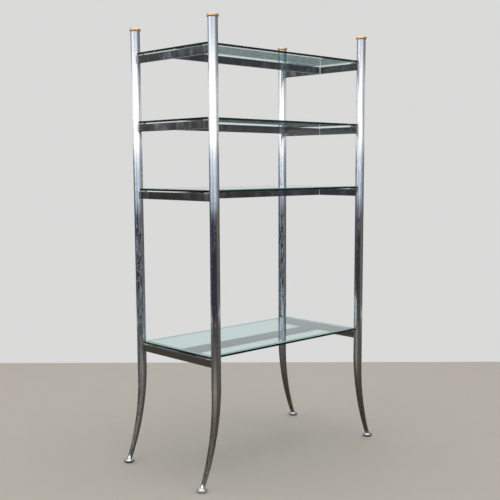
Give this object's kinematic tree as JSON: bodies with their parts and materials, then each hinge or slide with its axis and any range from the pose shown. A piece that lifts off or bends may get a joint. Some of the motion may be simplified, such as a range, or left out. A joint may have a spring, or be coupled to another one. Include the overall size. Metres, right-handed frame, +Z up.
{
  "type": "etagere",
  "caption": "Open display etagere with round chrome posts on outswept tapered sabre legs, brass caps, and loose glass shelves carried on welded rails.",
  "frame": {"origin": "on the floor, under the middle of the four feet", "axes": "+Z up, +X along the width towards the right end, +Y from the front to the back"},
  "size_m": [0.88, 0.444, 1.518],
  "materials": {
    "post_chrome": "polished",
    "rail_chrome": "polished",
    "cap_brass": "polished",
    "pad_rubber": "matte",
    "shelf_glass": "polished"
  },
  "bodies": {
    "frame": {"post_front_left": "post_chrome", "post_front_right": "post_chrome", "post_back_left": "post_chrome", "post_back_right": "post_chrome", "cap_front_left": "cap_brass", "cap_front_right": "cap_brass", "cap_back_left": "cap_brass", "cap_back_right": "cap_brass", "end_rail_left_top": "rail_chrome", "end_rail_right_top": "rail_chrome", "end_rail_left_upper": "rail_chrome", "end_rail_right_upper": "rail_chrome", "end_rail_left_middle": "rail_chrome", "end_rail_right_middle": "rail_chrome", "end_rail_left_lower": "rail_chrome", "end_rail_right_lower": "rail_chrome", "long_rail_top": "rail_chrome", "long_rail_upper": "rail_chrome", "long_rail_middle": "rail_chrome", "long_rail_lower": "rail_chrome", "pad_top_front_left": "pad_rubber", "pad_top_front_right": "pad_rubber", "pad_top_back_left": "pad_rubber", "pad_top_back_right": "pad_rubber", "pad_upper_front_left": "pad_rubber", "pad_upper_front_right": "pad_rubber", "pad_upper_back_left": "pad_rubber", "pad_upper_back_right": "pad_rubber", "pad_middle_front_left": "pad_rubber", "pad_middle_front_right": "pad_rubber", "pad_middle_back_left": "pad_rubber", "pad_middle_back_right": "pad_rubber", "pad_lower_front_left": "pad_rubber", "pad_lower_front_right": "pad_rubber", "pad_lower_back_left": "pad_rubber", "pad_lower_back_right": "pad_rubber"},
    "shelf_top": {"glass_top": "shelf_glass"},
    "shelf_upper": {"glass_upper": "shelf_glass"},
    "shelf_middle": {"glass_middle": "shelf_glass"},
    "shelf_lower": {"glass_lower": "shelf_glass"}
  },
  "joints": [
    {"name": "top_shelf_lift", "type": "slide", "parent": "frame", "child": "shelf_top", "axis": [0, 0, 1], "range_m": [0, 0.068]},
    {"name": "upper_shelf_lift", "type": "slide", "parent": "frame", "child": "shelf_upper", "axis": [0, 0, 1], "range_m": [0, 0.19]},
    {"name": "middle_shelf_lift", "type": "slide", "parent": "frame", "child": "shelf_middle", "axis": [0, 0, 1], "range_m": [0, 0.19]},
    {"name": "lower_shelf_lift", "type": "slide", "parent": "frame", "child": "shelf_lower", "axis": [0, 0, 1], "range_m": [0, 0.5]}
  ]
}
